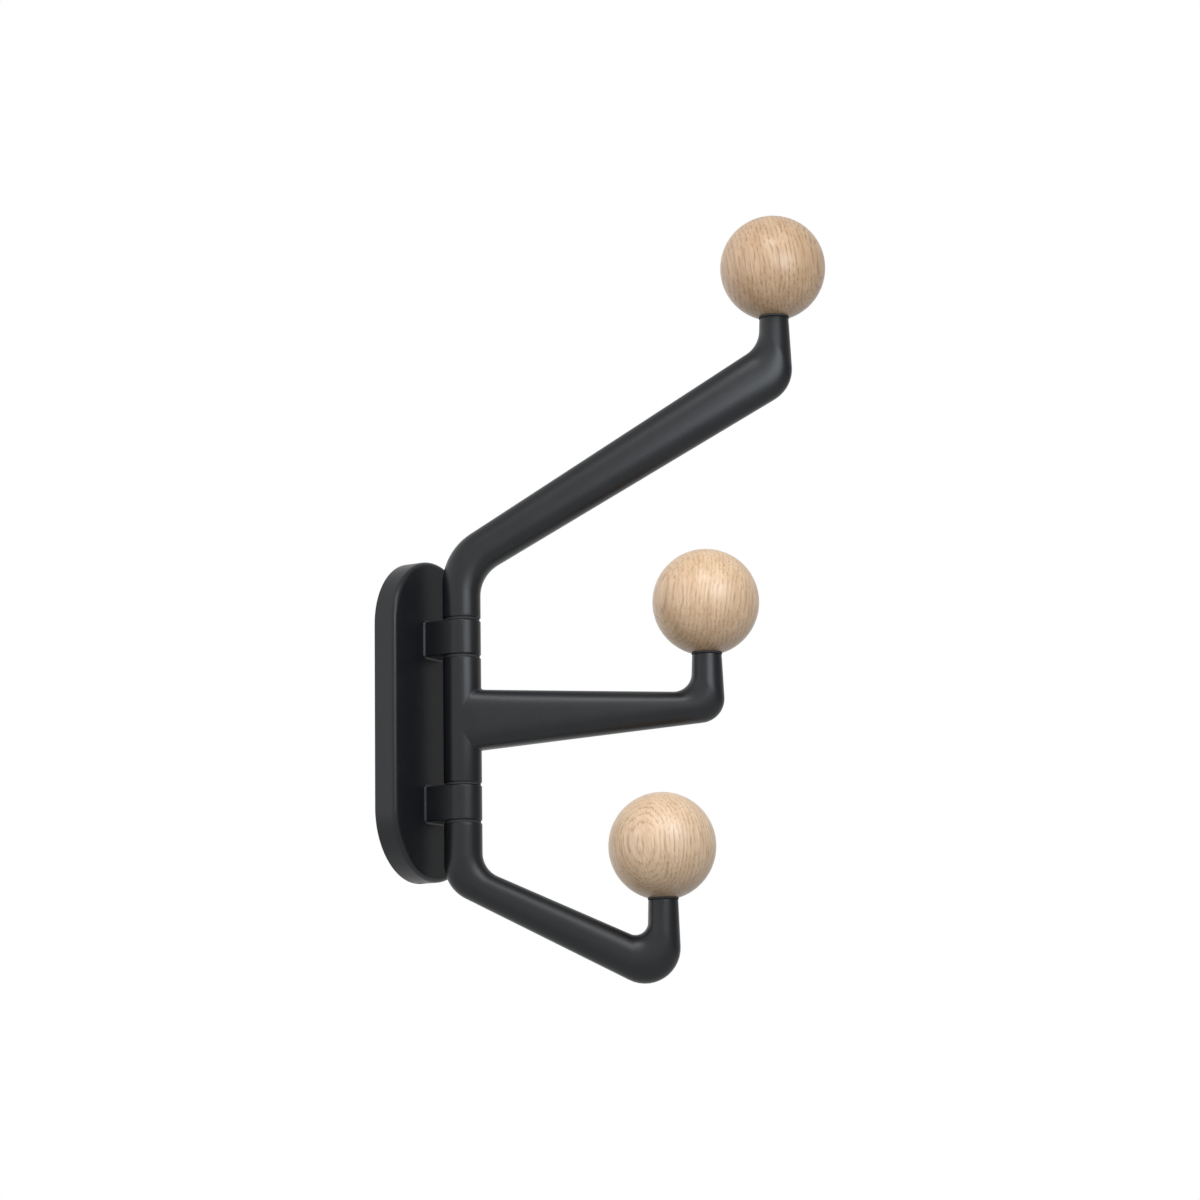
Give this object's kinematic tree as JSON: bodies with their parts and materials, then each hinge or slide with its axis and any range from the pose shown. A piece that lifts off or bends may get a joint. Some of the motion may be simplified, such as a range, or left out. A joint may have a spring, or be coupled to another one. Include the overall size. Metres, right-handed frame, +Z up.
{
  "type": "wall hook",
  "caption": "Swivelling wall hook: an upright stadium plate carries cast arms that turn about one pivot pin, each with an upturned neck and a turned oak ball.",
  "frame": {"origin": "middle of the wall plate's back, on the wall", "axes": "+X to the right along the wall, +Y into the wall, +Z up"},
  "size_m": [0.0914, 0.1279, 0.2541],
  "materials": {
    "black_casting": "satin graphite-black powder coat",
    "oak": "turned oak, clear satin lacquer",
    "black_nylon": "black nylon",
    "bright_steel": "zinc plated",
    "blackened_steel": "black oxide"
  },
  "bodies": {
    "base": {"wall_plate": "black_casting", "wall_bracket": "bright_steel", "plate_lock_screw": "blackened_steel", "pivot_pin": "bright_steel"},
    "upper": {"upper_arm": "black_casting", "upper_arm_bush": "black_nylon", "upper_arm_set_screw": "blackened_steel", "upper_seat_washer": "black_nylon", "upper_ball_stud": "bright_steel", "upper_ball": "oak"},
    "middle": {"middle_arm": "black_casting", "middle_arm_top_bush": "black_nylon", "middle_arm_bottom_bush": "black_nylon", "middle_seat_washer": "black_nylon", "middle_ball_stud": "bright_steel", "middle_ball": "oak"},
    "lower": {"lower_arm": "black_casting", "lower_arm_bush": "black_nylon", "lower_arm_set_screw": "blackened_steel", "lower_seat_washer": "black_nylon", "lower_ball_stud": "bright_steel", "lower_ball": "oak"}
  },
  "joints": [
    {"name": "upper_arm_swivel", "type": "hinge", "parent": "base", "child": "upper", "pos_m": [0, -0.0187, 0], "axis": [0, 0, 1], "range_deg": [-119, 61]},
    {"name": "middle_arm_swivel", "type": "hinge", "parent": "base", "child": "middle", "pos_m": [0, -0.0187, 0], "axis": [0, 0, 1], "range_deg": [-119, 61]},
    {"name": "lower_arm_swivel", "type": "hinge", "parent": "base", "child": "lower", "pos_m": [0, -0.0187, 0], "axis": [0, 0, 1], "range_deg": [-119, 61]}
  ]
}
